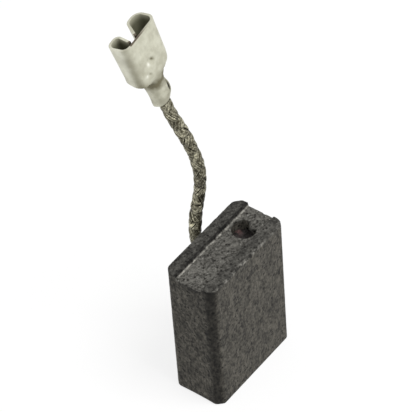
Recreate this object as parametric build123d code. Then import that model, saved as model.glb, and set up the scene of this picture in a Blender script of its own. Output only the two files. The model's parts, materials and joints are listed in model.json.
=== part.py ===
from build123d import *
import math
import os

# Carbon brush with a side lead, in millimetres.
# It stands on its contact face, with the origin at the middle of the block's foot.
# X runs across the block's width, Y through its thickness towards the lead, and Z up.

# Cuts run this far past the faces they open
overrun = 1.0

# Carbon block
block_width = 16.0
block_thickness = 7.9
block_height = 22.2
corner_chamfer = 0.9
corner_softening = 0.8
commutator_radius = 40.0

# Spring seat, a shallow channel along the top
seat_depth = 0.58
ridge_width = 1.86
seat_root_radius = 0.2

# Tamping hole, drilled down from the seat, and the lead's bore through the back face
hole_diameter = 3.4
hole_from_side = 3.85
hole_below_lead = 2.0
drill_point_angle = 118
lead_height = 12.6
lead_clearance = 0.05

# Tamped copper plug
plug_recess = 1.6
plug_dish = 0.35

# Braided lead
braid_diameter = 1.7
root_past_middle = 0.9

# The lead's route from its exit to the end of the crimp, as steps from the exit
braid_route = [
    (0.00, 0.00, 0.00),
    (0.00, 1.25, 0.00),
    (0.00, 2.50, 0.03),
    (-0.03, 3.53, 0.64),
    (-0.10, 4.10, 1.72),
    (-0.33, 4.13, 3.50),
    (-0.45, 3.90, 6.00),
    (-0.20, 3.64, 8.90),
    (0.30, 3.20, 12.00),
    (0.46, 3.07, 15.60),
    (0.00, 3.50, 19.20),
    (-0.80, 4.42, 23.00),
    (-1.57, 5.72, 26.45),
    (-1.83, 6.22, 28.60),
]
tangent_share = 0.45

# Female receptacle, folded from one sheet around a flat tab
sheet = 0.34
tab_width = 6.3
tab_thickness = 0.8
tab_side_play = 0.03
grip_gap = 0.55
curl_rise_at_mouth = 2.55
curl_rise_at_back = 2.15
body_length = 6.95
body_taper = 0.3
open_shoulder_radius = 2.5
closed_shoulder_radius = 1.45
base_bend_radius = 0.9
curl_bend_radius = 1.2

# Where each curl turns down, and where its tip ends, across from the middle
open_curl_turn = 1.5
open_curl_tip = 0.45
open_turn_radius = 0.8
closed_curl_turn = 1.15
closed_curl_tip = 1.7
closed_curl_lift = 0.2
closed_turn_radius = 0.6

# Locking dimple and the small dent behind it, pressed in from below
dimple_radius = 0.9
dimple_depth = 0.3
dimple_from_mouth = 4.7
dimple_aside = 0.5
dent_radius = 0.8
dent_depth = 0.15
dent_from_mouth = 5.8
dent_aside = 1.5

# Neck and crimp barrel, which tapers towards the lead
neck_length = 1.15
neck_width = 3.8
neck_rise = 1.2
neck_waist_share = 0.5
neck_flat_share = 0.25
barrel_length = 3.6
barrel_end_wall = 0.24
barrel_end_lobes = 0.25
barrel_front_wall = 0.6
barrel_front_lobes = 0.1
crimp_groove = 0.35
crimp_seam = 0.16
lobe_centre_share = 0.5
lobe_shoulder_share = 0.125

# Which way the receptacle's flat base runs across
terminal_across = Vector(0.99, 0.08, 0.10)

# Sizes that follow from the ones above
seat_floor = block_height - seat_depth
hole_radius = hole_diameter / 2
hole_x = block_width / 2 - hole_from_side
hole_bottom = lead_height - hole_below_lead
plug_top = seat_floor - plug_recess
braid_radius = braid_diameter / 2
exit_point = Vector(hole_x, block_thickness / 2, lead_height)
outer_width = tab_width + 2 * (sheet + tab_side_play)
barrel_end_radius = braid_radius + barrel_end_wall
barrel_front_radius = braid_radius + barrel_front_wall
body_start = barrel_length + neck_length
mouth = body_start + body_length


def tamping_hole(top, dish=0):
    """A drilled hole with its pointed end, up to the height top, less a coned dish in the top."""
    point = hole_radius / math.tan(math.radians(drill_point_angle / 2))
    outline = Polyline(
        (0, hole_bottom - point),
        (hole_radius, hole_bottom),
        (hole_radius, top),
        (0, top - dish),
        close=True,
    )
    return Pos(hole_x, 0, 0) * revolve(Plane.XZ * make_face(outline), Axis.Z)


def across_y(radius, start, end):
    """A round bar along Y at the lead's height."""
    middle = Pos(hole_x, (start + end) / 2, lead_height)
    return middle * Rot(90, 0, 0) * Cylinder(radius, end - start)


def carbon_block():
    """The block, with its chamfered corners, worn foot, spring seat and two holes."""
    section = Rectangle(block_width, block_thickness)
    section = chamfer(section.vertices(), corner_chamfer)
    section = fillet(section.vertices(), corner_softening)
    block = extrude(section, block_height)

    foot_centre = -math.sqrt(commutator_radius**2 - (block_thickness / 2) ** 2)
    foot = Cylinder(commutator_radius, block_width + 2 * overrun)
    block -= Pos(0, 0, foot_centre) * Rot(0, 90, 0) * foot

    seat_width = block_thickness - 2 * ridge_width
    seat = Box(block_width + 2 * overrun, seat_width, seat_depth + overrun)
    roots = seat.edges().filter_by(Axis.X).group_by(Axis.Z)[0]
    seat = fillet(roots, seat_root_radius)
    block -= Pos(0, 0, seat_floor + (seat_depth + overrun) / 2) * seat

    block -= tamping_hole(block_height + overrun)
    lead_bore = braid_radius + lead_clearance
    block -= across_y(lead_bore, 0, block_thickness / 2 + overrun)
    return block


def tamped_plug():
    """Copper tamped round the lead's root, dished by the punch."""
    plug = tamping_hole(plug_top, plug_dish)
    return plug - across_y(braid_radius, -root_past_middle, hole_diameter)


def route_points():
    return [exit_point + Vector(*step) for step in braid_route]


def corner_radii(points):
    """Each arc takes the same share of the shorter run beside its corner."""
    radii = []
    for before, corner, after in zip(points, points[1:], points[2:]):
        first, second = corner - before, after - corner
        half_turn = math.radians(first.get_angle(second) / 2)
        shorter = min(first.length, second.length)
        radii.append(tangent_share * shorter / math.tan(half_turn))
    return radii


def braid():
    """The lead: its root in the plug, its free stretch, and its end in the crimp."""
    points = route_points()
    radii = corner_radii(points)
    path = FilletPolyline(*points, radius=radii)
    section = Plane(origin=points[0], z_dir=points[1] - points[0]) * Circle(braid_radius)
    lead = sweep(section, path=path)
    ideal = math.pi * braid_radius**2 * path.length
    print("lead: arc radii", [round(radius, 1) for radius in radii])
    print(f"lead: length {path.length:.2f}, volume {lead.volume:.3f}, section by length {ideal:.3f}")

    root = across_y(braid_radius, -root_past_middle, block_thickness / 2)
    crimped = extrude(terminal_plane() * Circle(braid_radius), barrel_length)
    return lead + root + crimped


def terminal_plane():
    """The crimp's end: Z runs up to the mouth, X across the base, Y from base to curls."""
    points = route_points()
    return Plane(origin=points[-1], x_dir=terminal_across, z_dir=points[-1] - points[-2])


def curl_side(side, width, rise, turn, tip, lift, turn_radius):
    """Half of the sheet's middle line, from the base's middle to one curl's tip."""
    edge = (width - sheet) / 2
    top = tab_thickness + rise - sheet / 2
    tip_height = sheet + grip_gap - lift
    return FilletPolyline(
        (0, sheet / 2),
        (side * edge, sheet / 2),
        (side * edge, top),
        (side * turn, top),
        (side * tip, tip_height),
        radius=[base_bend_radius, curl_bend_radius, turn_radius],
    )


def arc_centred_on(edges, point):
    arcs = edges.filter_by(GeomType.CIRCLE)
    return min(arcs, key=lambda arc: (arc.arc_center - point).length)


def curled_section(width, rise, height):
    """The folded sheet in section: a flat base with one open and one closed curl."""
    open_side = curl_side(1, width, rise, open_curl_turn, open_curl_tip, 0, open_turn_radius)
    closed_side = curl_side(
        -1, width, rise, closed_curl_turn, closed_curl_tip, closed_curl_lift, closed_turn_radius
    )
    middle_line = Wire([*open_side.edges(), *closed_side.edges()])
    lines = middle_line.offset_2d(sheet / 2).edges()
    for tip in (open_side @ 1, closed_side @ 1):
        round_end = arc_centred_on(lines, tip)
        lines.remove(round_end)
        lines.append(Line(round_end @ 0, round_end @ 1).edge())
    return Plane.XY.offset(height) * make_face(lines)


def receptacle_body():
    """The base and its two curls, larger at the mouth, with rounded shoulders behind."""
    back = curled_section(outer_width - body_taper, curl_rise_at_back, body_start)
    front = curled_section(outer_width, curl_rise_at_mouth, mouth)
    body = loft([back, front], ruled=True)

    deep = 2 * (tab_thickness + curl_rise_at_mouth)
    plan = Rectangle(outer_width + sheet, body_length + overrun, align=(Align.CENTER, Align.MIN))
    open_corner = plan.vertices().group_by(Axis.X)[-1].sort_by(Axis.Y)[0]
    plan = fillet(open_corner, open_shoulder_radius + sheet / 2)
    closed_corner = plan.vertices().group_by(Axis.X)[0].sort_by(Axis.Y)[0]
    plan = fillet(closed_corner, closed_shoulder_radius + sheet / 2)
    keep = extrude(Plane.XZ * Pos(0, body_start) * plan, deep, both=True)
    return body & keep


def channel(width, rise, height):
    """A trough of sheet at one height: a round floor with its edges at the given rise."""
    half = width / 2
    inner = half - sheet
    outside = ThreePointArc((-half, rise), (0, 0), (half, rise))
    inside = ThreePointArc((inner, rise), (0, sheet), (-inner, rise))
    rim_right = Line((half, rise), (inner, rise))
    rim_left = Line((-inner, rise), (-half, rise))
    face = make_face([*outside.edges(), *rim_right.edges(), *inside.edges(), *rim_left.edges()])
    return Plane.XY.offset(height) * face


def neck():
    """The trough between the flat base and the round crimp."""
    flat = channel(neck_width, sheet + sheet / 2, body_start + neck_flat_share * neck_length)
    waist = channel(neck_width, neck_rise, body_start - neck_waist_share * neck_length)
    barrel = channel(2 * barrel_front_radius, barrel_front_radius, barrel_length)
    return loft([flat, waist, barrel])


def barrel_outline(radius, lobes, height):
    """The crimp's outer line: round below, and two lobes above that meet in a groove."""
    lobe = lobe_centre_share * radius
    shoulder = lobe_shoulder_share * radius
    top = 2 * radius + lobes
    notch = top - crimp_groove
    below = ThreePointArc((-radius, radius), (0, 0), (radius, radius))
    right = ThreePointArc((radius, radius), (radius - shoulder, top - lobe / 2), (lobe, top))
    right_dip = Line((lobe, top), (0, notch))
    left_dip = Line((0, notch), (-lobe, top))
    left = ThreePointArc((-lobe, top), (shoulder - radius, top - lobe / 2), (-radius, radius))
    lines = [*below.edges(), *right.edges(), *right_dip.edges(), *left_dip.edges(), *left.edges()]
    return Plane.XY.offset(height) * make_face(lines)


def crimp_barrel():
    """The two wings rolled round the lead's end, closed along a seam."""
    end = barrel_outline(barrel_end_radius, barrel_end_lobes, 0)
    front = barrel_outline(barrel_front_radius, barrel_front_lobes, barrel_length)
    barrel = loft([end, front])
    bore = Pos(0, barrel_end_radius, barrel_length / 2) * Cylinder(braid_radius, barrel_length)
    from_below = (Align.CENTER, Align.MIN, Align.MIN)
    seam = Box(crimp_seam, 2 * barrel_front_radius, barrel_length, align=from_below)
    return barrel - bore - Pos(0, barrel_end_radius, 0) * seam


def dimple(radius, depth, aside, from_mouth):
    """A round bump raised inside the base, and the hollow it leaves below."""
    place = Pos(aside, 0, mouth - from_mouth)
    centre = place * Pos(0, depth - radius, 0)
    reach = 2 * (radius + sheet)
    inside = Box(reach, radius + sheet, reach, align=(Align.CENTER, Align.MIN, Align.CENTER))
    bump = centre * Sphere(radius + sheet) & place * Pos(0, sheet / 2, 0) * inside
    return bump, centre * Sphere(radius)


def terminal():
    """One folded sheet: receptacle, neck and crimp, set on the lead's end."""
    folded = receptacle_body() + neck() + crimp_barrel()
    locking = dimple(dimple_radius, dimple_depth, -dimple_aside, dimple_from_mouth)
    dent = dimple(dent_radius, dent_depth, -dent_aside, dent_from_mouth)
    for bump, _ in (locking, dent):
        folded += bump
    for _, hollow in (locking, dent):
        folded -= hollow
    return terminal_plane() * Pos(0, -barrel_end_radius, 0) * folded


parts = {
    "carbon_block": carbon_block(),
    "tamped_plug": tamped_plug(),
    "braid": braid(),
    "terminal": terminal(),
}
os.makedirs("parts", exist_ok=True)
for name, part in parts.items():
    export_step(part, f"parts/{name}.step")
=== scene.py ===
import json
import math
from contextlib import contextmanager
import bmesh
import bpy
import numpy as np
from mathutils import Matrix, Vector

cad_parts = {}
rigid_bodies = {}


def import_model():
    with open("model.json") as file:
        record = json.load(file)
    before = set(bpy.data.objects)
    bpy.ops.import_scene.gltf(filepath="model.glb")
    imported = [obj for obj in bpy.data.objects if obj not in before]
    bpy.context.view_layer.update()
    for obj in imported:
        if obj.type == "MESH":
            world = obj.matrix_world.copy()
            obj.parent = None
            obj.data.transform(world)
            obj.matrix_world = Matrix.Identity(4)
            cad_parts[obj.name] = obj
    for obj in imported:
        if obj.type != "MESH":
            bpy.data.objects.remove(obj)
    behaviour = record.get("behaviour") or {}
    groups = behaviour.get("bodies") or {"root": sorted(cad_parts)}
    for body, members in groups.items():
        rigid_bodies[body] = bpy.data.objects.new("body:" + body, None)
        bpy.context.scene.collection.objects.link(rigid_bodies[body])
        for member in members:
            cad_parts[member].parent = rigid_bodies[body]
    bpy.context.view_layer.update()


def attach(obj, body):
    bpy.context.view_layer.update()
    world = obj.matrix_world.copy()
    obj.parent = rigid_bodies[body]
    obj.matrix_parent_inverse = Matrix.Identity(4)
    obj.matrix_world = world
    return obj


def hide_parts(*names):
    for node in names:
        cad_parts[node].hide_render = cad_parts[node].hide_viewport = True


# Carbon brush with a braided lead and a crimped receptacle, in metres.
# The block stands on its foot at the origin, the lead leaves the +Y face, and Z is up.

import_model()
MM = 0.001
TINY = 1e-9

# Sizes of the block, in millimetres
WIDTH, THICKNESS, HEIGHT = 16.0, 7.9, 22.2
CHAMFER, SOFTENING = 0.9, 0.8
FOOT_RADIUS, FOOT_EDGE = 40.0, 0.12
SEAT_DEPTH, RIDGE = 0.58, 1.86
HOLE_X, HOLE_RADIUS, HOLE_BOTTOM, POINT_SLOPE = 4.15, 1.7, 10.6, 0.6
LEAD_Z, BORE_RADIUS, BORE_DEPTH, BORE_REACH = 12.6, 0.9, 2.1, 2.2
PLUG_TOP, PLUG_DISH, PLUG_GAP = 20.02, 0.35, 0.01
HALF_X, HALF_Y = WIDTH / 2, THICKNESS / 2
HALF_SEAT, SEAT_LEVEL = HALF_Y - RIDGE, HEIGHT - SEAT_DEPTH
SEAT_EDGE = HALF_SEAT - 0.12

# Sizes of the lead and the receptacle, in millimetres
LEAD_DIAMETER = 1.7
SHEET = 0.34
BODY_START, MOUTH = 4.75, 11.7


# Camera, where the photograph was taken from

CAMERA_PLACE = Vector((-0.20496, -0.16952, 0.30495))
CAMERA_AXES = Matrix((
    (0.59791466, -0.79969775, -0.05460377),
    (0.59937215, 0.40082539, 0.69288674),
    (-0.53221339, -0.44701512, 0.71897593),
))
CAMERA_LENS, CAMERA_SENSOR = 261.5, 36


def add_object(name, data):
    made = bpy.data.objects.new(name, data)
    bpy.context.scene.collection.objects.link(made)
    return made


def add_camera():
    """A camera whose directions to the right, up and back are the axes' rows."""
    data = bpy.data.cameras.new("camera")
    camera = add_object("camera", data)
    camera.matrix_world = Matrix.Translation(CAMERA_PLACE) @ CAMERA_AXES.transposed().to_4x4()
    data.sensor_width = CAMERA_SENSOR
    data.lens = CAMERA_LENS
    data.clip_start = 0.01
    bpy.context.scene.camera = camera


# The lead's route from its exit, the same points as the solid's

LEAD_EXIT = Vector((0.00415, 0.00395, 0.0126))
LEAD_ROUTE = [
    (0.00, 0.00, 0.00), (0.00, 1.25, 0.00), (0.00, 2.50, 0.03), (-0.03, 3.53, 0.64),
    (-0.10, 4.10, 1.72), (-0.33, 4.13, 3.50), (-0.45, 3.90, 6.00), (-0.20, 3.64, 8.90),
    (0.30, 3.20, 12.00), (0.46, 3.07, 15.60), (0.00, 3.50, 19.20), (-0.80, 4.42, 23.00),
    (-1.57, 5.72, 26.45), (-1.83, 6.22, 28.60),
]
ACROSS = Vector((0.99, 0.08, 0.10))


def lead_line():
    """Points of the smooth line that the route controls."""
    curve = bpy.data.curves.new("lead_line", "CURVE")
    curve.dimensions = "3D"
    curve.resolution_u = 24
    spline = curve.splines.new("NURBS")
    spline.points.add(len(LEAD_ROUTE) - 1)
    for point, step in zip(spline.points, LEAD_ROUTE):
        point.co = (*(LEAD_EXIT + Vector(step) * MM), 1)
    spline.order_u = 3
    spline.use_endpoint_u = True
    holder = add_object("lead_line", curve)
    bpy.context.view_layer.update()
    mesh = bpy.data.meshes.new_from_object(holder)
    points = read_rows(mesh.vertices, "co", 3)
    bpy.data.batch_remove([holder, mesh, curve])
    return points


# Lines and directions

def unit(vectors):
    return vectors / np.linalg.norm(vectors, axis=-1, keepdims=True)


def lengths_along(line):
    """The line's length up to each of its points."""
    return np.concatenate([[0], np.cumsum(np.linalg.norm(np.diff(line, axis=0), axis=1))])


def read_at(line, lengths, places):
    """The line's points at the given distances along it."""
    return np.stack([np.interp(places, lengths, part) for part in line.T], axis=1)


def carried_axes(line):
    """Two directions square to the line, carried along it without twisting."""
    tangent = unit(np.gradient(line, axis=0))
    first = np.zeros_like(line)
    first[0] = (1, 0, 0)
    for i in range(1, len(line)):
        first[i] = unit(first[i - 1] - tangent[i] * (first[i - 1] @ tangent[i]))
    return first, np.cross(tangent, first)


# Noise that varies smoothly in space: its size in millimetres, seed and layers

GRAINS = {
    "edge wear": (0.9, 5, 3), "edge chips": (0.45, 8, 2),
    "skin across": (0.5, 90, 2), "skin through": (0.5, 93, 2), "skin upwards": (0.5, 96, 2),
    "riser dashes": (0.36, 31, 2), "riser breaks": (0.45, 32, 2),
    "edge rub and highlight": (0.6, 33, 2), "edge glints": (0.30, 34, 2), "edge gaps": (0.38, 36, 2),
    "ridge mottle": (0.8, 35, 2), "side mottle": (0.7, 37, 2), "side speckle": (0.42, 38, 2),
    "copper lumps": (0.7, 40, 3), "bare copper": (0.35, 44, 2),
    "lead slack": (2.7, 21, 2), "lead squash": (4.3, 22, 1),
    "wire wander": (1.9, 50, 1), "wire gaps": (0.50, 75, 2), "wire glints": (0.38, 77, 2),
    "crimp presses": (0.9, 61, 2), "sheet waves": (2.2, 70, 2),
    "stain patches": (0.9, 81, 3), "stain clouds": (1.7, 85, 3),
}
LATTICE, LAYER_SHIFT = 32, 11.3


def grain(points, kind):
    """Smooth noise from -1 to 1: random values on a lattice of the kind's size,
    blended with the weight 3t^2 - 2t^3, each further layer half as large and strong."""
    size, seed, layers = GRAINS[kind]
    total, weight, norm = 0.0, 1.0, 0.0
    for layer in range(layers):
        table = np.random.default_rng(seed + layer).uniform(-1, 1, (LATTICE,) * 3)
        scaled = points / (size / 2**layer) + LAYER_SHIFT * (layer + 1)
        cell = np.floor(scaled).astype(int)
        t = scaled - cell
        t = t * t * (3 - 2 * t)
        value = 0.0
        for corner in np.ndindex(2, 2, 2):
            share = np.prod(np.where(corner, t, 1 - t), axis=-1)
            at = (cell + corner) % LATTICE
            value = value + share * table[at[..., 0], at[..., 1], at[..., 2]]
        total, norm = total + weight * value, norm + weight
        weight /= 2
    return total / norm


def smooth(low, high, value):
    """0 up to low, 1 from high on, and 3t^2 - 2t^3 between; falling where high is less."""
    t = np.clip((value - low) / (high - low), 0, 1)
    return t * t * (3 - 2 * t)


def patches(points, kind, low, high):
    """A noise as patches, 0 where it is at low and 1 where it is at high."""
    return smooth(low, high, grain(points, kind))


def hump(value, middle, spread, power=2):
    """1 at the middle, falling as exp(-((value - middle) / spread) ^ power)."""
    return np.exp(-(((value - middle) / spread) ** power))


# Meshes from grids of points

def grid_faces(rows, columns, close_columns=False, first=0):
    """Quads between a grid's neighbouring rows and columns."""
    row = np.arange(rows - 1)[:, None] * columns
    column = np.arange(columns if close_columns else columns - 1)
    left, right = row + column, row + (column + 1) % columns
    return np.stack([left, right, right + columns, left + columns], -1).reshape(-1, 4) + first


def mesh_piece(name, points, faces, merge=None):
    """A smooth object from points in millimetres and quads, its doubles merged."""
    mesh = bpy.data.meshes.new(name)
    mesh.from_pydata((points * MM).tolist(), [], faces.tolist())
    mesh.update()
    piece = add_object(name, mesh)
    if merge:
        weld(piece, merge)
    mesh.polygons.foreach_set("use_smooth", np.ones(len(mesh.polygons), bool))
    return piece


@contextmanager
def opened(piece):
    """A piece's mesh, opened for changes."""
    work = bmesh.new()
    work.from_mesh(piece.data)
    yield work
    work.to_mesh(piece.data)
    work.free()


def weld(piece, distance):
    """Merges points that coincide and drops faces without area."""
    with opened(piece) as work:
        bmesh.ops.remove_doubles(work, verts=work.verts, dist=distance * MM)
        bmesh.ops.dissolve_degenerate(work, edges=work.edges, dist=distance * MM / 10)


def close_ends(piece, most_sides):
    """Fills the open end of each tube."""
    with opened(piece) as work:
        edges = [edge for edge in work.edges if edge.is_boundary]
        bmesh.ops.holes_fill(work, edges=edges, sides=most_sides)
        bmesh.ops.recalc_face_normals(work, faces=work.faces)


def read_rows(items, name, width, kind=float):
    """A property of points or faces, as rows."""
    values = np.zeros(len(items) * width, kind)
    items.foreach_get(name, values)
    return values.reshape(-1, width)


def add_numbers(piece, domain="POINT", **numbers):
    """Gives each point or face its numbers for the finish."""
    for name, values in numbers.items():
        attribute = piece.data.attributes.new(name, "FLOAT", domain)
        attribute.data.foreach_set("value", np.asarray(values, np.float32).ravel())


def add_modifier(piece, name, kind, **settings):
    modifier = piece.modifiers.new(name, kind)
    for key, value in settings.items():
        setattr(modifier, key, value)


def apply_modifiers(piece):
    bpy.context.view_layer.update()
    graph = bpy.context.evaluated_depsgraph_get()
    mesh = bpy.data.meshes.new_from_object(piece.evaluated_get(graph))
    piece.modifiers.clear()
    old, piece.data = piece.data, mesh
    bpy.data.meshes.remove(old)
    mesh.name = piece.name


# The graphite block

TOP_CELL, SIDE_CELL = 0.14, 0.15
RISER_INNER, RISER_OUTER = 0.10, 0.06
RIDGE_WORN, RIDGE_WORN_REACH = 0.16, 1.9
CHIP_ANGLE, CHIP_SPREAD, CHIP_WIDTH, CHIP_DIP = -0.40, 0.50, 0.92, 0.12
LEAST_WEAR, FAR_WEAR, NEAR_WEAR = 0.13, 0.02, 0.09
SKIN, NEAR_CHIPS, FAR_CHIPS, CHIP_REACH = 0.018, 0.24, 0.06, 0.22

# The top's corners that were knocked: place, reach and depth
KNOCKED_CORNERS = (
    (HALF_X, -HALF_Y, 1.5, 0.14),
    (HALF_X, HALF_Y, 1.3, 0.24),
    (-HALF_X, HALF_Y, 1.0, 0.25),
    (-HALF_X, -HALF_Y, 1.1, 0.15),
)


def around(centre, *reaches):
    """The places at these distances to both sides of a centre."""
    return [centre + sign * reach for reach in reaches for sign in (-1, 1)]


def spaced_lines(stops, step, fewest):
    """Grid lines through all the stops, closer together beside a stop."""
    stops = sorted(stops)
    lines = [stops[:1]]
    for a, b in zip(stops, stops[1:]):
        count = max(fewest, round((b - a) / step))
        t = np.linspace(0, 1, count + 1)[1:]
        drawn = t - 0.12 * np.sin(2 * np.pi * t)
        lines.append(a + (b - a) * drawn)
    return np.concatenate(lines)


def chamfered(x, y):
    """Moves a point of the full rectangle into the one with four cut corners.
    In each corner square the point is a blend of the square's two outer sides, which
    end at the middle of the cut."""
    reach = 2 * CHAMFER
    across, deep = HALF_X - reach, HALF_Y - reach
    p = np.clip((np.abs(x) - across) / reach, 0, 1)
    q = np.clip((np.abs(y) - deep) / reach, 0, 1)

    def side(t):
        """Along the outer side to its half, then down the cut to its middle."""
        cut = np.clip(2 * t - 1, 0, 1) * CHAMFER / 2
        return np.minimum(t, 0.5) * reach + cut, reach - cut

    top_along, top_level = side(p)
    right_along, right_level = side(q)
    shared = p * q * (reach - CHAMFER / 2)
    u = q * top_along + p * right_level - shared
    v = q * top_level + p * right_along - shared
    inside = (np.abs(x) > across) & (np.abs(y) > deep)
    return np.where(inside, [np.sign(x) * (across + u), np.sign(y) * (deep + v)], [x, y])


def ring_warp(a, b, centre, radius, reach):
    """Bends square rings round a centre into circles, fully within the radius and fading to
    the reach. Gives the new place, 1 - ring / radius, and how far and which way it is."""
    da, db = a - centre[0], b - centre[1]
    ring = np.maximum(np.abs(da), np.abs(db))
    factor = ring / np.maximum(np.hypot(da, db), TINY)
    scale = 1 + (factor - 1) * (1 - smooth(radius, reach, ring))
    da, db = da * scale, db * scale
    away = np.maximum(np.hypot(da, db), TINY)
    share = np.clip(1 - ring / radius, 0, 1)
    return centre[0] + da, centre[1] + db, share, away, da / away, db / away


def plan(x, y):
    """Rounds the eight upright edges. Round an edge a point is drawn to the rounding's centre
    by the cosine of its angle from the nearer face's direction. Gives the new place, the
    distance in from the outline, and the direction out of it."""
    u, v = np.abs(x), np.abs(y)
    across_cut = (HALF_X + HALF_Y - CHAMFER - u - v) / math.sqrt(2)
    levels = np.stack([HALF_X - u, across_cut, HALF_Y - v])
    inward = levels.min(0)
    turn = levels.argmin(0) * math.pi / 4
    inset = CHAMFER + (math.sqrt(2) - 1) * SOFTENING
    half_turn = math.pi / 8
    for centre_u, centre_v, middle in (
        (HALF_X - SOFTENING, HALF_Y - inset, half_turn),
        (HALF_X - inset, HALF_Y - SOFTENING, 3 * half_turn),
    ):
        du, dv = u - centre_u, v - centre_v
        angle = np.arctan2(dv, du)
        off = np.abs(angle - middle)
        inside = off < half_turn
        drawn = np.where(inside, np.cos(half_turn - off), 1)
        u, v = centre_u + du * drawn, centre_v + dv * drawn
        inward = np.where(inside, SOFTENING - np.hypot(du, dv) * drawn, inward)
        turn = np.where(inside, angle, turn)
    side = np.sign([x, y])
    return side * [u, v], inward, side * [np.cos(turn), np.sin(turn)]


def edge_wear(x, y):
    """The radius of the top's worn edges, largest at the knocked corners."""
    uneven = np.clip(grain(np.stack([x, y, 0 * x], -1), "edge wear") + 0.2, 0, 1)
    radius = LEAST_WEAR + np.where(y > 0, FAR_WEAR, NEAR_WEAR) * uneven
    for corner_x, corner_y, reach, more in KNOCKED_CORNERS:
        radius += more * hump(np.hypot(x - corner_x, y - corner_y), 0, reach)
    return radius


def turned_edge(along, radius):
    """An edge's rounding: a point at the distance along from it is carried to the angle
    45 (1 - along / radius) degrees, which gives its new distance and how far it sinks."""
    angle = math.pi / 4 * np.clip(1 - along / radius, 0, 1)
    new_along = np.where(along < radius, radius * (1 - np.sin(angle)), along)
    return new_along, radius * (1 - np.cos(angle))


def top_height(x, y):
    """The spring seat's section: a floor and two ridges, the near one worn at its right end."""
    ridge = smooth(HALF_SEAT - RISER_INNER, HALF_SEAT + RISER_OUTER, np.abs(y))
    worn = RIDGE_WORN * smooth(RIDGE_WORN_REACH, 0, HALF_X - x) * (y < 0)
    return SEAT_LEVEL + ridge * (SEAT_DEPTH - worn)


def foot_height(y):
    """The worn foot: an arc of the commutator's radius, highest in the middle."""
    low = math.sqrt(FOOT_RADIUS**2 - HALF_Y**2)
    return np.sqrt(FOOT_RADIUS**2 - y**2) - low


def top_grid(xs, ys):
    """The top: the plan's grid lifted to the seat's section. Square rings round the tamping
    hole become circles that sink along its wall to its pointed end, chipped at the rim."""
    place, inward, out = plan(*chamfered(*np.meshgrid(xs, ys, indexing="ij")))
    new_inward, sunk = turned_edge(inward, edge_wear(*place))
    x, y = place - out * (new_inward - inward)
    x, y, share, away, turn_x, turn_y = ring_warp(x, y, (HOLE_X, 0), HOLE_RADIUS, SEAT_EDGE)
    in_hole = share > 1e-6
    wall = share / 0.5
    cone = np.clip(wall - 1, 0, 1)
    depth = SEAT_LEVEL - HOLE_BOTTOM
    fall = wall**2.2 * depth
    chip = hump(np.arctan2(turn_y, turn_x), CHIP_ANGLE, CHIP_SPREAD, 4)
    narrowed = HOLE_RADIUS * (1 - cone)
    narrowed = narrowed - CHIP_WIDTH * chip * smooth(0, 0.16, fall) * (1 - smooth(0.3, 1.2, fall))
    x = np.where(in_hole, HOLE_X + turn_x * narrowed, x)
    y = np.where(in_hole, turn_y * narrowed, y)
    dip = CHIP_DIP * chip * hump(away, HOLE_RADIUS, 0.35) * ~in_hole
    bottom = np.minimum(fall, depth) + cone * HOLE_RADIUS * POINT_SLOPE
    z = np.where(in_hole, SEAT_LEVEL - CHIP_DIP * chip - bottom, top_height(x, y) - sunk - dip)
    return np.stack([x, y, z], -1)


def side_grid(x, y, t, bore=False):
    """One side, from the top's section down to the foot's arc, and the lead's bore if asked."""
    (x, y), _, out = plan(*chamfered(x, y))
    low, high = foot_height(y), top_height(x, y)
    z = low + (high - low) * t
    if bore:
        x, z, share, _, turn_x, turn_z = ring_warp(x, z, (HOLE_X, LEAD_Z), BORE_RADIUS, BORE_REACH)
        in_bore = share > 1e-6
        narrowed = BORE_RADIUS * np.clip(2 - 2 * share, 0, 1)
        x = np.where(in_bore, HOLE_X + turn_x * narrowed, x)
        z = np.where(in_bore, LEAD_Z + turn_z * narrowed, z)
        y = np.where(in_bore, y - BORE_DEPTH * np.clip(2 * share, 0, 1), y)
    new_below, moved_high = turned_edge(high - z, edge_wear(x, y))
    new_above, moved_low = turned_edge(z - low, FOOT_EDGE)
    z = np.where(high - z < 1, high - new_below, np.where(z - low < 1, low + new_above, z))
    return np.stack([*([x, y] - out * (moved_high + moved_low)), z], -1)


def foot_grid(xs, ys):
    """The foot: the plan's grid lifted to the arc, its edge rounded."""
    place, inward, out = plan(*chamfered(*np.meshgrid(xs, ys, indexing="ij")))
    new_inward, sunk = turned_edge(inward, FOOT_EDGE)
    return np.stack([*(place - out * (new_inward - inward)), foot_height(place[1]) + sunk], -1)


def block_grids():
    """The block's six faces as grids whose edges share points."""
    hole, bore = around(HOLE_X, HOLE_RADIUS, BORE_RADIUS), around(LEAD_Z, BORE_RADIUS)
    xs = spaced_lines(around(0, HALF_X, HALF_X - CHAMFER) + hole, TOP_CELL, 4)
    risers = SEAT_EDGE, HALF_SEAT + 0.08
    ys = spaced_lines(around(0, HALF_Y, HALF_Y - CHAMFER, *risers, HOLE_RADIUS), TOP_CELL, 4)
    zs = spaced_lines([0, 0.01, 0.97, 1, *(z / HEIGHT for z in bore)], SIDE_CELL / HEIGHT, 6)
    grids = [(top_grid(xs, ys), False), (foot_grid(xs, ys), True)]
    for sign in (-1, 1):
        x, t = np.meshgrid(xs, zs, indexing="ij")
        face = np.full_like(x, sign * HALF_Y)
        grids.append((side_grid(x, face, t, bore=sign > 0), sign > 0))
        y, t = np.meshgrid(ys, zs, indexing="ij")
        grids.append((side_grid(np.full_like(y, sign * HALF_X), y, t), sign < 0))
    return grids


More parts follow.
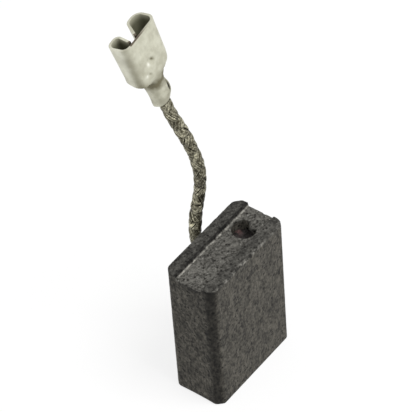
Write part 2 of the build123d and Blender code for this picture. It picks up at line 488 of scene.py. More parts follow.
class OnBlock:
    """Where the block's points are: how far in from the plan's outline and below the top's
    section, the direction out, and which are in the hole, on the top or on the seat."""

    def __init__(self, points):
        x, y, z = points.T
        self.points, self.x, self.y, self.z = points, x, y, z
        _, inward, self.out = plan(x, y)
        self.inward, self.below = np.maximum(inward, 0), top_height(x, y) - z
        in_hole = np.hypot(x - HOLE_X, y) < HOLE_RADIUS - 0.02
        self.in_hole = in_hole & (z > HOLE_BOTTOM - 2) & (z < SEAT_LEVEL - 0.05)
        self.on_top = (self.below < 0.30) & (self.inward > 0.02) & ~self.in_hole
        self.on_seat = self.on_top & (np.abs(y) < HALF_SEAT - 0.03)


def roughened(at):
    """The points moved by noise, and drawn in where it chips the top's edges."""
    near_edge = hump(np.hypot(at.inward, at.below), 0, CHIP_REACH) * ~at.in_hole
    chips = near_edge * np.clip(grain(at.points, "edge chips"), 0, 1)
    chips *= np.where(at.y > 0, FAR_CHIPS, NEAR_CHIPS)
    kinds = ("skin across", "skin through", "skin upwards")
    skin = np.stack([grain(at.points, kind) for kind in kinds], -1) * SKIN
    moved = at.points + skin * ~at.in_hole[:, None]
    moved -= np.stack([*(at.out * chips), 0.6 * chips], -1)
    return np.clip(moved, (-HALF_X, -HALF_Y, 0), (HALF_X, HALF_Y, HEIGHT))


SEAT_LIGHT, RIDGE_LIGHT, RISER_LIGHT, HOLE_SHADE, LEDGE_HIGHLIGHT = 1.30, 0.76, 0.20, 0.12, 1.5


def top_light(at):
    """How light the top is: a burnished seat, darker ridges, and a dark broken far riser with a
    dashed bright line at its foot and a painted shade beside its edge."""
    light = np.where(at.on_seat, SEAT_LIGHT + 0.16 * smooth(-2, -7, at.x), 1.0)
    light = np.where(at.on_top & ~at.on_seat, RIDGE_LIGHT, light)
    level = (at.z - SEAT_LEVEL) / SEAT_DEPTH
    riser = (np.abs(at.y - HALF_SEAT) < 0.16) & (at.inward > 0.05) & (level > 0.12)
    broken = patches(at.points, "riser breaks", -0.1, 0.5)
    light = np.where(riser, RISER_LIGHT + 0.55 * broken, light)
    line = hump(at.y, SEAT_EDGE, 0.11, 4) * (level < 0.35)
    line *= (at.inward > 0.02) * ~at.in_hole
    dashes = patches(at.points * (1, 0.2, 0.2), "riser dashes", -0.35, 0.25)
    light += 2.5 * (0.45 + 0.55 * dashes) * line
    # Painted shade on the far ridge beside the riser's edge
    beside = hump(at.y, HALF_SEAT + 0.12, 0.16) * (at.on_top & (at.y > HALF_SEAT))
    return light * (1 - 0.45 * beside)


def near_edge_light(at, light):
    """The top's near edge, worn, with a painted highlight and glints and dark gaps, and the
    mottled ridge behind it.
    """
    line = hump(np.hypot(at.inward, at.below), 0, 0.30) * (at.y < 1.2 - HALF_Y)
    # Painted highlight along the near edge, partly its real wear, then painted glints
    light += 0.85 * line * patches(at.points, "edge rub and highlight", 0.0, 0.4)
    light += 1.6 * line**2 * patches(at.points, "edge glints", 0.02, 0.34)
    light *= 1 - 0.6 * line * patches(at.points, "edge gaps", -0.1, -0.5)
    ridge = at.on_top & (at.y < 0.05 - HALF_SEAT)
    return light * np.where(ridge, 0.90 + 0.5 * patches(at.points, "ridge mottle", -0.5, 0.5), 1)


def side_light(at, light):
    """The left face, mottled, speckled and darker upwards, and a painted shade on the near
    chamfer.
    """
    left = smooth(0.5, 0.9, -at.out[0]) * (at.inward < 0.4) * (at.below > 0.05)
    mottle = patches(at.points, "side mottle", -0.2, 0.4)
    high = np.exp(-at.below / 1.3)
    light *= 1 - left * (0.32 * mottle - 0.06 + 0.36 * high * mottle)
    pale = patches(at.points, "side speckle", 0.15, 0.45)
    dark = patches(at.points, "side speckle", -0.15, -0.45)
    light *= 1 + left * (0.22 * pale - 0.42 * dark)
    # Painted shade on the near chamfer
    along_cut = (at.x + HALF_X - (at.y + HALF_Y)) / math.sqrt(2)
    cut = hump(along_cut, -0.24, 0.80, 4) * smooth(0.03, 0.2, at.below)
    cut *= (at.x < 3 - HALF_X) * (at.y < 2 - HALF_Y)
    return light * (1 - cut * (0.62 + 0.20 * np.exp(-at.below / 3)))


def hole_light(at, light):
    """A painted shade in the hole, and a painted highlight on the ledge broken in its rim."""
    # Painted shade in the hole
    light = np.where(at.in_hole, HOLE_SHADE, light)
    # Painted highlight on the chipped ledge in the rim
    ledge = hump(np.hypot(at.x - HOLE_X - 1.30, at.y + 0.58), 0, 0.75, 6)
    ledge *= (at.z > SEAT_LEVEL - 0.5) * (at.z < SEAT_LEVEL + 0.1)
    return np.maximum(light, LEDGE_HIGHLIGHT * ledge)


def block_shell():
    """The block's grids welded, roughened and chipped, with the numbers for its finish."""
    points, faces, first = [], [], 0
    for grid, turned in block_grids():
        rows, columns = grid.shape[:2]
        quads = grid_faces(rows, columns, first=first)
        faces.append(quads[:, ::-1] if turned else quads)
        points.append(grid.reshape(-1, 3))
        first += rows * columns
    points, faces = np.concatenate(points), np.concatenate(faces)
    piece = mesh_piece("graphite_block", points, faces, merge=0.004)
    at = OnBlock(read_rows(piece.data.vertices, "co", 3) / MM)
    piece.data.vertices.foreach_set("co", (roughened(at) * MM).ravel())
    piece.data.update()
    light = top_light(at)
    for change in (near_edge_light, side_light, hole_light):
        light = change(at, light)
    side = smooth(0.1, 0.4, at.below) * ~at.in_hole
    add_numbers(piece, light=light, seat=at.on_seat, side=side)
    return piece


# The tamped copper plug

PLUG_TURNS, PLUG_RINGS = 96, 26


def plug_shell():
    """A solid of revolution round the hole's axis: a dished top with lumps, a wall and a
    pointed end; its height over the radius r is top - dish (1 - r / R) + noise."""
    radius = HOLE_RADIUS - PLUG_GAP
    share = np.linspace(0, 1, PLUG_RINGS)
    r = np.concatenate([share * radius, [radius, radius, 0]])[:, None]
    level = np.concatenate([
        PLUG_TOP - PLUG_DISH * (1 - share),
        [PLUG_TOP - 1, HOLE_BOTTOM, HOLE_BOTTOM - POINT_SLOPE * radius],
    ])[:, None]
    angle = np.linspace(0, 2 * np.pi, PLUG_TURNS, endpoint=False)
    points = np.stack([HOLE_X + r * np.cos(angle), r * np.sin(angle), level + 0 * angle], -1)
    points[:PLUG_RINGS, :, 2] += 0.22 * grain(points[:PLUG_RINGS], "copper lumps") - 0.05
    faces = grid_faces(len(r), PLUG_TURNS, close_columns=True)[:, ::-1]
    piece = mesh_piece("copper_plug", points.reshape(-1, 3), faces, merge=0.002)
    p = read_rows(piece.data.vertices, "co", 3) / MM
    bare = hump(np.hypot(p[:, 0] - HOLE_X - 0.38, p[:, 1] - 1.4), 0, 0.6)
    add_numbers(piece, bare=bare * patches(p, "bare copper", -0.4, 0.3))
    return piece


# The braided lead

STRANDS, WIRES, WIRE_SIDES, CORE_SIDES = 6, 6, 5, 16
BRAID_RADIUS, WEAVE, LAY = 0.71, 0.08, 9.6
WIRE_RADIUS, CORE_RADIUS = 0.062, 0.5
IN_BLOCK, IN_CRIMP = 1.6, 1.8
LEAD_SAMPLES = 230
SHADED_SIDE = np.array([0.80, -0.60, 0.0])
STRAND_SHIFT, DIRECTION_SHIFT = 5.3, 2.7


def lead_path(line):
    """The line in even steps, with straight ends in the block and the crimp, and each
    step's distance from the exit."""
    path = line / MM
    start = path[0] + unit(path[0] - path[1]) * IN_BLOCK
    end = path[-1] + unit(path[-1] - path[-2]) * IN_CRIMP
    path = np.concatenate([start[None], path, end[None]])
    lengths = lengths_along(path)
    steps = np.linspace(0, lengths[-1], LEAD_SAMPLES)
    return read_at(path, lengths, steps), steps - IN_BLOCK


def tube(centre, out, beside, radius, sides):
    """Rings round a line: centre + radius (out cos a + beside sin a)."""
    turn = 2 * np.pi * np.arange(sides) / sides
    ring = out[:, None] * np.cos(turn)[:, None] + beside[:, None] * np.sin(turn)[:, None]
    return centre[:, None] + radius * ring


class Bundle:
    """Tubes gathered for one mesh, each with its numbers for the finish."""

    def __init__(self):
        self.points, self.faces, self.count = [], [], 0
        self.numbers = {}

    def add(self, rings, **numbers):
        samples, sides = rings.shape[:2]
        self.points.append(rings.reshape(-1, 3))
        self.faces.append(grid_faces(samples, sides, close_columns=True, first=self.count))
        self.count += samples * sides
        for name, values in numbers.items():
            row = np.repeat(values * np.ones(samples), sides)
            self.numbers.setdefault(name, []).append(row)

    def piece(self, name):
        piece = mesh_piece(name, np.concatenate(self.points), np.concatenate(self.faces))
        numbers = {key: np.concatenate(rows) for key, rows in self.numbers.items()}
        add_numbers(piece, **numbers)
        close_ends(piece, 2 * CORE_SIDES)
        return piece


def beside_line(along, second=0, third=0):
    """Places for noise that varies along the lead."""
    return np.stack([along, along * 0 + second, along * 0 + third], -1)


def lead_shell(line):
    """Tinned wires in two sets of ribbons that wind opposite ways round the lead's line.
    A ribbon's angle is +-2 pi s / lay + its share of a turn, and its distance from the line
    is R +- a cos(n pi s / lay), so each passes over two and under two of the others.
    Its wires lie side by side across the ribbon, each a thin tube of five sides."""
    path, along = lead_path(line)
    first, second = carried_axes(path)
    random = np.random.default_rng(7)
    loose = 1 + 0.13 * grain(beside_line(along), "lead slack")
    loose -= 0.14 * smooth(-IN_CRIMP, 0.4 - IN_CRIMP, along - along[-1])
    squash = 0.10 * grain(beside_line(along, 3), "lead squash")
    # How strong the painted shade on the lead's shaded side is, along the lead
    shaded = smooth(3, 9, along) * (1 - 0.85 * smooth(9, 20, along))
    lively = smooth(7, 10, along) * smooth(21, 15, along)
    bundle = Bundle()
    for direction in (1, -1):
        lift = direction * WEAVE * np.cos(np.pi * STRANDS * along / LAY + np.pi / 4)
        for strand in range(STRANDS):
            offset = 2 * np.pi * strand / STRANDS + random.uniform(-0.12, 0.12)
            for wire in range(WIRES):
                share = (wire + 0.5) / WIRES - 0.5
                wander = grain(beside_line(along, wire, strand * 3 + direction), "wire wander")
                spread = share * 0.93 + 0.04 * wander
                angle = direction * 2 * np.pi * along / LAY + offset + spread
                arch = 0.05 * (1 - (2 * share) ** 2)
                radius = (BRAID_RADIUS + lift + arch + 0.02 * wander) * loose
                aside = (np.cos(angle) * (1 + squash))[:, None] * first
                aside = aside + (np.sin(angle) * (1 - squash))[:, None] * second
                away = radius[:, None] * aside
                centre = path + away
                run = unit(np.gradient(centre, axis=0))
                out = unit(away - run * (away * run).sum(1)[:, None])
                own = centre + STRAND_SHIFT * strand + DIRECTION_SHIFT * direction
                # Painted shade in patches of gaps between the wires, over a stretch of the lead
                gap_shade = lively * patches(own, "wire gaps", 0.15, 0.45)
                # Painted glints on the wires over the same stretch
                wire_glint = lively * patches(own, "wire glints", 0.15, 0.45)
                bundle.add(
                    tube(centre, out, np.cross(run, out), WIRE_RADIUS, WIRE_SIDES),
                    weave=lift / WEAVE - 1.5 * gap_shade,
                    wire=random.uniform() + 1.1 * wire_glint,
                    dim=aside @ SHADED_SIDE * shaded,
                )
    # The core takes the painted shade seen between the wires
    bundle.add(tube(path, first, second, CORE_RADIUS, CORE_SIDES), weave=-2.0, wire=0.0, dim=0.0)
    return bundle.piece("lead_wires")


# The receptacle, one sheet with a base, two curls, a neck and a crimp

OUTER_WIDTH = 7.04
TAB, GRIP = 0.8, 0.55
NECK_HALF = 1.9
NECK_COLUMNS, SIDE_COLUMNS, BODY_ROWS, NECK_ROWS = 52, 56, 84, 90
ARC_POINTS = 16
OPEN_SHOULDER, CLOSED_SHOULDER = 2.5, 1.45
LEAD_LEVEL = LEAD_DIAMETER / 2 + 0.24

# The body's sections: width, the curls' rise over the tab, the open tip's place and level
BACK_SECTION = (OUTER_WIDTH - 0.3, 2.15, 0.30, 0.80)
FRONT_SECTION = (OUTER_WIDTH, 2.54, -0.45, 0.66)
CLOSED_TIP = (1.7, SHEET + GRIP - 0.2)

# The hollows pressed in the base: place across and up, radius and depth
HOLLOWS = ((-0.45, 7.39, 1.00, 0.21), (-1.47, 5.94, 0.75, 0.13))

# Painted shade and painted highlights on their slopes: strength, place across and up, and size
HOLLOW_SHADES = ((0.62, 0.04, 7.48, 0.75), (0.34, -1.10, 5.88, 0.62))
HOLLOW_HIGHLIGHTS = ((1.0, -0.91, 7.22, 0.85), (0.75, -1.82, 5.98, 0.75))

# The neck and crimp at their heights: the arc's curvature, and half its length
NECK_CURVES = (
    (-1, 1.09), (0.4, 1.07), (3.1, 0.83), (3.75, 0.78), (4.3, 0.46), (4.9, 0.10), (5.5, 0.10),
)
NECK_HALVES = (
    (-1, 2.92), (0.2, 2.92), (3.1, 3.72), (3.5, 3.45), (3.95, 2.5), (4.3, 2.15),
    (4.8, NECK_HALF), (5.5, NECK_HALF),
)


def rounded_line(corners, radii):
    """A polyline whose corners are arcs of these radii."""
    corners = np.array(corners, float)
    pieces = [corners[:1]]
    for before, corner, after, radius in zip(corners, corners[1:], corners[2:], radii):
        u, v = unit(before - corner), unit(after - corner)
        half = math.acos(np.clip(u @ v, -1, 1)) / 2
        centre = corner + unit(u + v) * radius / math.sin(half)
        start, end = corner + u * radius / math.tan(half), corner + v * radius / math.tan(half)
        t = np.linspace(0, 1, ARC_POINTS)[:, None]
        pieces.append(centre + unit(start + (end - start) * t - centre) * radius)
    return np.concatenate([*pieces, corners[-1:]])


def curl_line(side, width, rise, tip, level):
    """Half of the sheet's middle line across: base, side, curl and tip."""
    edge = (width - SHEET) / 2
    top = TAB + rise - SHEET / 2
    turn, radii = (1.3, (1.1, 1.05, 1.0)) if side > 0 else (1.15, (0.9, 0.95, 0.6))
    across = np.array([0, edge, edge, turn, tip]) * side
    levels = (SHEET / 2, SHEET / 2, top, top, level)
    line = rounded_line(np.stack([across, levels], 1), radii)
    lengths = lengths_along(line)
    near = np.linspace(0, NECK_HALF, NECK_COLUMNS)
    far = np.linspace(NECK_HALF, lengths[-1], SIDE_COLUMNS)
    return read_at(line, lengths, np.concatenate([near, far[1:]]))


def section_line(width, rise, tip, level):
    """The whole middle line, from the closed curl's tip to the open curl's tip."""
    closed = curl_line(-1, width, rise, *CLOSED_TIP)[::-1]
    return np.concatenate([closed[:-1], curl_line(1, width, rise, tip, level)])


def shoulder_start(x):
    """How far up the body begins at a place across: a quarter arc at each shoulder."""
    edge = (OUTER_WIDTH + SHEET) / 2
    radius = np.where(x > 0, OPEN_SHOULDER, CLOSED_SHOULDER) + SHEET / 2
    past = np.clip(np.abs(x) - (edge - radius), 0, radius)
    return BODY_START + radius - np.sqrt(radius**2 - past**2)


def pressed(x, z, aside, up, radius, depth):
    """A round hollow: depth (1 - (r / R)^2)^2 inside its radius."""
    share = np.clip(((x - aside) ** 2 + (z - up) ** 2) / radius**2, 0, 1)
    return depth * (1 - share) ** 2


def spots(x, z, marks):
    """Soft spots on the base, each its strength times exp(-r^2 / size^2), where r is short
    along the diagonal from -X to +Z and long across it."""
    total = 0
    for strength, aside, up, size in marks:
        u, w = x - aside + z - up, x - aside - z + up
        total += strength * np.exp(-((u / 0.41) ** 2 + ((w + 0.27 * u) / 0.68) ** 2) / size**2)
    return total


def body_grid():
    """The body: straight columns from the shoulders' outline to the mouth, between the back
    and the front section, with hollows in the base, which rises as x^2 at the neck."""
    back, front = section_line(*BACK_SECTION), section_line(*FRONT_SECTION)
    start = shoulder_start(back[:, 0])
    start = start + np.where(back[:, 0] < -2, 0.9 * smooth(0.8, 3.2, back[:, 1]), 0)
    z = start + (MOUTH - start) * np.linspace(0, 1, BODY_ROWS)[:, None]
    share = (z - BODY_START) / (MOUTH - BODY_START)
    x = back[:, 0] + (front[:, 0] - back[:, 0]) * share
    y = back[:, 1] + (front[:, 1] - back[:, 1]) * share
    on_base = y < SHEET
    for hollow in HOLLOWS:
        y += on_base * pressed(x, z, *hollow)
    fade = 1 - smooth(BODY_START - 0.2, BODY_START + 1.9, z)
    y += 0.05 * fade * np.minimum(np.abs(x), NECK_HALF) ** 2
    return np.stack([x, y, z], -1)


def eased(stops, z):
    """Smooth steps between stops of (place, value)."""
    places, values = np.array(stops).T
    index = np.clip(np.searchsorted(places, z, side="right") - 1, 0, len(places) - 2)
    t = smooth(places[index], places[index + 1], z)
    return values[index] + (values[index + 1] - values[index]) * t


def slit_at(turn, z):
    """The wing's open edge: a narrow lens along the crimp, 1 on its middle line."""
    long = np.clip(1 - ((z - 2.0) / 1.0) ** 2, 0, 1)
    return long * hump(turn, 0.66, 0.05 + 0.17 * long, 4)


def crimp_swell(turn, z):
    """How far the sheet stands out of its arc: lobes beside the seam, where the wings dip in,
    one more low on a side, marks of the press, a wing's flared edge and the slit along it."""
    rolled = 1 - smooth(3.1, 3.6, z)
    lobe = 0.22 * hump(np.abs(turn), 2.45, 0.38) - 0.32 * smooth(2.75, 3.15, np.abs(turn))
    lobe += 0.12 * hump(turn, -2.35, 0.45) * (1 - smooth(0.6, 2.4, z))
    press = 0.035 * grain(np.stack([turn * 0.9, z, z * 0], -1), "crimp presses")
    flare = 0.42 * np.clip(1 - ((z - 1.75) / 1.35) ** 2, 0, 1) ** 1.5 * hump(turn, 0.80, 0.45)
    return rolled * (lobe + press) + flare - 0.22 * slit_at(turn, z)


def neck_grid(body_foot):
    """The neck and the crimp: the base's middle columns run on down to the crimp's end. A
    row is an arc of curvature k(z) and half length w(z), so the sheet goes from flat through
    a trough to two wings that meet behind. Its last rows pass into the body's first row."""
    joint = body_foot[SIDE_COLUMNS - 1:SIDE_COLUMNS + 2 * NECK_COLUMNS - 2]
    x = joint[:, 0]
    share = np.linspace(0, 1, NECK_ROWS)[:, None] ** 0.9
    oblique = 0.14 + 0.42 * np.sin(2.8 * x / NECK_HALF + 0.60)
    z = oblique + (joint[:, 2] - oblique) * share
    s = x / NECK_HALF * eased(NECK_HALVES, z)
    turn = eased(NECK_CURVES, z) * s
    swell = crimp_swell(turn, z)
    px = s * np.sinc(turn / np.pi) + swell * np.sin(turn)
    py = SHEET / 2 + s * turn / 2 * np.sinc(turn / (2 * np.pi)) ** 2 - swell * np.cos(turn)
    px += 0.20 * hump(z, 4.10, 0.50) * smooth(0, 1, x / NECK_HALF)
    shift = -0.10 * (1 - smooth(0, 2.2, z))
    points = np.stack([px + 0.76 * shift, py - 0.65 * shift, z], -1)
    joined = smooth(0.88, 1.0, share)[..., None]
    return points + (joint - points) * joined, turn


def terminal_axes():
    """The crimp's end, and the receptacle's own directions across, outwards and up."""
    end = LEAD_EXIT / MM + Vector(LEAD_ROUTE[-1])
    up = (Vector(LEAD_ROUTE[-1]) - Vector(LEAD_ROUTE[-2])).normalized()
    across = (ACROSS - up * ACROSS.dot(up)).normalized()
    return np.array(end), np.array([across, up.cross(across), up])


def in_place(points):
    """From the receptacle's own directions to the part's frame."""
    end, axes = terminal_axes()
    return end + (points - (0, LEAD_LEVEL, 0)) @ axes


def from_place(points):
    """The reverse of in_place."""
    end, axes = terminal_axes()
    return (points - end) @ axes.T + (0, LEAD_LEVEL, 0)


def stains_and_shade(points, neck_turn):
    """Where the tin is darkened, 0 to 1: painted shade along the bend beside the closed curl,
    stains in patches on the neck and the crimp, painted shade in the base's hollows and in the
    wing's open edge."""
    x, y, z = points.T
    patchy = patches(points, "stain patches", -0.25, 0.45)
    along = np.clip((z - BODY_START) / (MOUTH - BODY_START), 0, 1)
    # Painted shade along the bend beside the closed curl
    bend = hump(x - y, -3.64, 0.74) * (x < -1.8) * (y < 1.6) * (z > BODY_START - 0.4)
    bend *= (0.25 + 0.20 * (1 - along) ** 1.3)
    neck = hump(z, 3.75, 0.90) * (0.48 + 0.28 * patchy)
    crimp = (1 - smooth(2.8, 3.8, z)) * (0.17 * patchy + 0.05 * (1 - smooth(0, 1.2, z)))
    cloudy = 0.12 * patches(points, "stain clouds", -0.2, 0.5)
    # Painted shade in the wing's open edge
    slit = np.zeros(len(points))
    slit[:neck_turn.size] = slit_at(neck_turn.ravel(), z[:neck_turn.size])
    # Painted shade on the hollows' slopes
    dent = spots(x, z, HOLLOW_SHADES) * (y < 0.7)
    return np.clip(bend + neck + crimp + cloudy + dent, 0, 0.62) * (1 - slit) + slit


def rubbed(points):
    """Where painted highlights lie on the tin: the hollows' lower slopes and the closed curl's
    side.
    """
    x, y, z = points.T
    # Painted highlights on the closed curl's side and on the hollows' lower slopes
    side = smooth(-3.0, -3.35, x) * smooth(0.4, 1.2, y)
    return np.clip(spots(x, z, HOLLOW_HIGHLIGHTS) * (y < 0.7) + 0.30 * side, 0, 1)


def receptacle_sheet():
    """The neck and the body welded into one sheet with its thickness and worn edges."""
    body = body_grid()
    neck, neck_turn = neck_grid(body[0])
    rows, columns = neck.shape[:2]
    flat = np.concatenate([neck.reshape(-1, 3), body.reshape(-1, 3)])
    dull, bright = stains_and_shade(flat, neck_turn), rubbed(flat)
    flat[:, 1] += 0.014 * grain(flat, "sheet waves")
    faces = np.concatenate([
        grid_faces(rows, columns),
        grid_faces(*body.shape[:2], first=rows * columns),
    ])
    piece = mesh_piece("receptacle", in_place(flat), faces)
    add_numbers(piece, dull=dull, rubbed=bright)
    weld(piece, 0.003)
    for _ in range(3):
        piece.data.materials.append(None)
    add_modifier(
        piece, "sheet", "SOLIDIFY", thickness=SHEET * MM, offset=0, use_even_offset=True,
        material_offset=1, material_offset_rim=2,
    )
    add_modifier(
        piece, "edges", "BEVEL", width=0.09 * MM, segments=3, limit_method="ANGLE",
        angle_limit=math.radians(55),
    )
    apply_modifiers(piece)
    polygons = piece.data.polygons
    kind = read_rows(polygons, "material_index", 1, np.int32).ravel()
    x, y, z = from_place(read_rows(polygons, "center", 3) / MM).T
    # Painted shade inside the curls, deepening away from the mouth
    deep = smooth(0.0, 1.1, MOUTH - z + 0.5 * smooth(1.5, 0.2, y))
    low = (y < 0.6) & (x > -2.4) | (y < 1.0) & (x > -2.1) & (x < 0.3)
    bare = ((kind == 2) & low & (z > MOUTH - 1)) * (0.12 + 0.88 * smooth(1.6, -0.6, x))
    add_numbers(piece, "FACE", inside=kind == 1, deep=deep, bare_edge=bare)
    piece.data.materials.clear()
    polygons.foreach_set("material_index", np.zeros(len(kind), np.int32))
    polygons.foreach_set("use_smooth", np.ones(len(kind), bool))
    return piece


# Finishes

def maths(operation):
    """An operator and its reflected form, which add a Math node of this operation."""
    def forward(self, other):
        return self.owner.node("Math", {"operation": operation}, {0: self, 1: other})

    def reflected(self, other):
        return self.owner.node("Math", {"operation": operation}, {0: other, 1: self})

    return forward, reflected


class Value:
    """A number from a node; arithmetic on it adds Math nodes."""

    def __init__(self, owner, socket):
        self.owner, self.socket = owner, socket

    __add__, __radd__ = maths("ADD")
    __sub__, __rsub__ = maths("SUBTRACT")
    __mul__, __rmul__ = maths("MULTIPLY")
    __pow__, __rpow__ = maths("POWER")
    largest = maths("MAXIMUM")[0]

    def band(self, low, high):
        """0 at low and 1 at high, held between."""
        inputs = {"Value": self, "From Min": low, "From Max": high}
        return self.owner.node("MapRange", {"clamp": True}, inputs)


class Nodes:
    """An empty node tree, which gets its nodes from one method."""

    def __init__(self, holder):
        holder.use_nodes = True
        self.tree = holder.node_tree
        self.tree.nodes.clear()

    def node(self, kind, settings, inputs, output=0):
        """A node with its settings and inputs. Gives one output, or the node if it has none."""
        made = self.tree.nodes.new("ShaderNode" + kind)
        for key, value in settings.items():
            setattr(made, key, value)
        for key, value in inputs.items():
            self.feed(made.inputs[key], value)
        return Value(self, made.outputs[output]) if made.outputs else made

    def feed(self, socket, value):
        if isinstance(value, Value):
            self.tree.links.new(value.socket, socket)
        elif isinstance(value, tuple) and len(value) == 3 and socket.type == "RGBA":
            socket.default_value = (*value, 1)
        else:
            socket.default_value = value

    def seen_straight(self):
        """1 for the camera's rays, and for those that gloss or glass sends on."""
        rays = ("Camera", "Glossy", "Transmission")
        camera, glossy, clear = (self.node("LightPath", {}, {}, f"Is {ray} Ray") for ray in rays)
        return camera.largest(glossy).largest(clear)


class Finish(Nodes):
    """One material, whose Principled surface takes what varies over a piece."""

    def __init__(self, name, constants):
        self.material = bpy.data.materials.new(name)
        super().__init__(self.material)
        self.surface = self.node("BsdfPrincipled", {}, constants)
        self.output = self.node("OutputMaterial", {}, {"Surface": self.surface})
        place = self.node("TexCoord", {}, {}, "Object")
        self.place = self.node("VectorMath", {"operation": "SCALE"}, {0: place, "Scale": 1 / MM})

    def noise(self, size, detail=2, roughness=0.5, stretch=(1, 1, 1), turn=0.0):
        """Noise whose features are about size millimetres, longer along the stretched axes."""
        place = self.place
        if turn:
            settings = {"rotation_type": "Z_AXIS"}
            place = self.node("VectorRotate", settings, {"Vector": place, "Angle": turn})
        steps = tuple(1 / (size * k) for k in stretch)
        scaled = self.node("VectorMath", {"operation": "MULTIPLY"}, {0: place, 1: steps})
        inputs = {"Vector": scaled, "Scale": 1, "Detail": detail, "Roughness": roughness}
        return self.node("TexNoise", {}, inputs, "Fac")

    def pits(self, size, shift=0.0):
        """Distance to scattered points about size millimetres apart."""
        inputs = {0: self.place, 1: (1 / size,) * 3, 2: (shift,) * 3}
        scaled = self.node("VectorMath", {"operation": "MULTIPLY_ADD"}, inputs)
        return self.node("TexVoronoi", {}, {"Vector": scaled, "Scale": 1}, "Distance")

    def attributes(self, *names):
        """The numbers that a piece carries under these names."""
        return [self.node("Attribute", {"attribute_name": name}, {}, "Fac") for name in names]

    def mix(self, share, first, second):
        return self.node("Mix", {"data_type": "RGBA"}, {0: share, 6: first, 7: second}, 2)

    def layered(self, colour, *layers):
        """A colour under further ones, each with the share that it covers."""
        for share, over in layers:
            colour = self.mix(share, colour, over)
        return colour

    def vary(self, socket, value):
        self.feed(self.surface.socket.node.inputs[socket], value)

    def height(self, value, distance):
        self.vary("Normal", self.node("Bump", {}, {"Height": value, "Distance": distance * MM}))

    def give(self, piece):
        piece.data.materials.clear()
        piece.data.materials.append(self.material)


# Colours of the graphite, the copper, the wires and the tinned sheet

GRAPHITE_DARK = (0.0070, 0.0065, 0.0052)
GRAPHITE_TOP, GRAPHITE_SIDE = (0.132, 0.1275, 0.1145), (0.142, 0.1320, 0.1105)
PORE, PIT = (0.008, 0.0075, 0.006), (0.006, 0.0055, 0.0045)
GLINT = (0.25, 0.245, 0.225)
POWDER_DARK, POWDER_GREY = (0.008, 0.007, 0.006), (0.030, 0.024, 0.022)
COPPER_BARE = (0.115, 0.058, 0.054)
WIRE_DARK, WIRE_BRIGHT = (0.062, 0.054, 0.030), (0.98, 0.94, 0.72)
WIRE_UNDER_SHADE, WIRE_SHADED = (0.012, 0.010, 0.006), (0.010, 0.009, 0.006)
WIRE_TARNISHED = (0.040, 0.033, 0.016)
TIN_GREY, TIN_CLEAN = (0.52, 0.51, 0.40), (0.68, 0.675, 0.555)
TIN_HIGHLIGHT, TIN_STAIN_AND_SHADE = (0.97, 0.97, 0.86), (0.17, 0.155, 0.095)
SLIT_SHADE, EDGE_BARE = (0.006, 0.005, 0.004), (0.085, 0.058, 0.036)
CURL_MOUTH, CURL_SHADE = (0.50, 0.49, 0.375), (0.150, 0.148, 0.095)
FLOOR_GREY, FLOOR_PALE, WHITE = (0.90,) * 3, (0.93,) * 3, (1.0,) * 3


def graphite_finish():
    """Pressed grain, drawn along the top and up the sides, with pores, pits and painted glints."""
    finish = Finish("graphite", {"Specular IOR Level": 0.12})
    light, seat, side = finish.attributes("light", "seat", "side")
    fine = finish.noise(0.34, stretch=(0.85, 0.85, 1.3))
    speck = finish.noise(0.62, 3, 0.6, stretch=(0.75, 0.75, 1.4))
    cloud = finish.noise(2.4, 3)
    upright = finish.noise(0.42, stretch=(1, 1, 3.5))
    drawn = finish.noise(0.40, stretch=(5, 1, 1), turn=0.42)
    streak = upright * side + drawn * (1 - side)
    tone = fine.band(0.40, 0.60) * 0.32 + speck.band(0.42, 0.58) * 0.34
    tone = tone + streak.band(0.42, 0.58) * (0.28 - 0.16 * side) + cloud.band(0.38, 0.62) * 0.16
    pores = finish.pits(0.75).band(0.28, 0.15) * cloud.band(0.40, 0.48)
    small = finish.pits(0.40).band(0.28, 0.12) * speck.band(0.46, 0.54)
    holes = finish.pits(1.5, shift=3.1).band(0.19, 0.11) * cloud.band(0.60, 0.46)
    # Painted glints, stronger on the seat
    glint = finish.pits(0.52, shift=7.3).band(0.26, 0.12) * fine.band(0.48, 0.58)
    colour = finish.layered(
        GRAPHITE_DARK,
        (tone, finish.mix(side, GRAPHITE_TOP, GRAPHITE_SIDE)),
        (pores * 0.9, PORE),
        (small * 0.75, PORE),
        (holes * 0.95, PIT),
        (glint * (0.25 + seat * 0.45), GLINT),
    )
    colour = finish.node("VectorMath", {"operation": "SCALE"}, {0: colour, "Scale": light})
    finish.vary("Base Color", colour)
    finish.vary("Roughness", 0.46 + 0.3 * speck)
    finish.height(fine * 0.5 + speck * 0.6 - pores * 0.7, 0.06)
    return finish


def copper_finish():
    """Darkened copper powder, with a place where the copper shows."""
    finish = Finish("tamped_copper", {"Metallic": 0.3})
    (bare,), fine = finish.attributes("bare"), finish.noise(0.25, 4, 0.7)
    dark = finish.mix(fine.band(0.42, 0.62), POWDER_DARK, POWDER_GREY)
    finish.vary("Base Color", finish.mix(bare, dark, COPPER_BARE))
    finish.vary("Roughness", 0.5 + 0.3 * fine)
    finish.height(fine, 0.08)
    return finish


def braid_finish():
    """Tinned wires, uneven in brightness with painted glints, with painted shade where they pass
    under, in their gaps and on the lead's shaded side, tarnished in places.
    """
    finish = Finish("tinned_braid", {"Metallic": 0.8, "Specular IOR Level": 0.2})
    weave, wire, dim = finish.attributes("weave", "wire", "dim")
    fine, worn = finish.noise(0.28, 3), finish.noise(1.1, 3)
    bright = wire * 0.45 + fine.band(0.35, 0.65) * 0.55
    colour = finish.layered(
        WIRE_DARK,
        (bright ** 1.8, WIRE_BRIGHT),
        # Painted shade where wires pass under others, in their gaps and on the core
        (weave.band(0.60, -0.75) * 0.95, WIRE_UNDER_SHADE),
        # Painted shade on the lead's shaded side
        (dim.band(0.05, 1.0) * 0.9, WIRE_SHADED),
        (worn.band(0.45, 0.62) * 0.50, WIRE_TARNISHED),
    )
    finish.vary("Base Color", colour)
    finish.vary("Roughness", 0.26 + 0.22 * fine)
    finish.height(finish.noise(0.08), 0.01)
    return finish


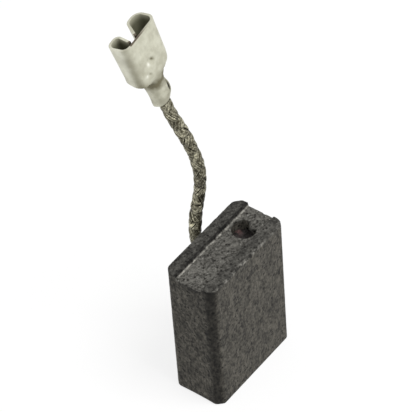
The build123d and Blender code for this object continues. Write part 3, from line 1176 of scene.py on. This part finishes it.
def tinned_finish():
    """Cloudy tin, stained in places, with painted highlights and painted shade, darker in the
    curls with painted shade deepening inwards, and bare at the cut edge.
    """
    finish = Finish("tinned_sheet", {})
    dull, bright, inside, deep, bare_edge = finish.attributes(
        "dull", "rubbed", "inside", "deep", "bare_edge")
    cloud, fine = finish.noise(1.3, 4, 0.6), finish.noise(0.12)
    colour = finish.layered(
        TIN_GREY,
        (cloud.band(0.35, 0.65), TIN_CLEAN),
        # Painted highlights
        (bright, TIN_HIGHLIGHT),
        # Stains, and painted shade on the bend and the hollows
        (dull.band(0, 0.62), TIN_STAIN_AND_SHADE),
        # Painted shade in the slit
        (dull.band(0.62, 0.95), SLIT_SHADE),
        # Painted shade deepening inside the curls
        (inside, finish.mix(deep ** 0.7, CURL_MOUTH, CURL_SHADE)),
        (bare_edge * 0.9, EDGE_BARE),
    )
    finish.vary("Base Color", colour)
    finish.vary("Roughness", 0.32 + 0.2 * cloud + 0.25 * dull + 0.25 * inside)
    finish.vary("Metallic", 0.75 - 0.65 * inside - 0.35 * dull)
    finish.height(fine * 0.3 + cloud, 0.02)
    return finish


# Light and floor

LAMP_PLACE, LAMP_AIM = Vector((0.08, -0.38, 0.75)), Vector((0, 0, 0.02))
LAMP_POWER, LAMP_SIZE = 4.0, 0.4
SKY_STRENGTH, FLOOR_GLOW, FLOOR_SHARE = 0.55, 1.06, 0.74
FLOOR_REACH = 3000.0


def add_lamp():
    data = bpy.data.lights.new("key", "AREA")
    data.energy = LAMP_POWER
    data.size = LAMP_SIZE
    lamp = add_object("key", data)
    lamp.location = LAMP_PLACE
    lamp.rotation_euler = (LAMP_AIM - LAMP_PLACE).to_track_quat("-Z", "Y").to_euler()


def add_world():
    """A sky that lights the part evenly and that the camera sees as white."""
    world = bpy.data.worlds.new("studio")
    bpy.context.scene.world = world
    sky = Nodes(world)
    lit = sky.node("Background", {}, {"Color": WHITE, "Strength": SKY_STRENGTH})
    white = sky.node("Background", {}, {"Color": WHITE})
    mixed = sky.node("MixShader", {}, {0: sky.seen_straight(), 1: lit, 2: white})
    sky.node("OutputWorld", {}, {"Surface": mixed})


def add_floor():
    """A pale floor, wide enough for every view, seen as nearly white under its shadow."""
    corners = np.array([(-1, -1, 0), (1, -1, 0), (1, 1, 0), (-1, 1, 0)]) * FLOOR_REACH
    floor = mesh_piece("floor", corners, np.array([[0, 1, 2, 3]]))
    finish = Finish("floor_paper", {"Roughness": 0.9})
    finish.vary("Base Color", finish.mix(finish.noise(40, 3), FLOOR_GREY, FLOOR_PALE))
    glow = finish.node("Emission", {}, {"Color": WHITE, "Strength": FLOOR_GLOW})
    share = finish.seen_straight() * FLOOR_SHARE
    mixed = finish.node("MixShader", {}, {0: share, 1: finish.surface, 2: glow})
    finish.feed(finish.output.inputs["Surface"], mixed)
    finish.give(floor)


bpy.context.scene.view_settings.view_transform = "Standard"
add_camera()
line = lead_line()
lead = lead_shell(line)
terminal = receptacle_sheet()
plug = plug_shell()
block = block_shell()
add_world()
add_floor()
add_lamp()
for piece, finish, node, slot in (
    (lead, braid_finish, "braid", "tinned_braid"),
    (terminal, tinned_finish, "terminal", "tinned_sheet"),
    (plug, copper_finish, "tamped_plug", "tamped_copper"),
    (block, graphite_finish, "carbon_block", "graphite"),
):
    finish().give(piece)
    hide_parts(node)
    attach(piece, "root")
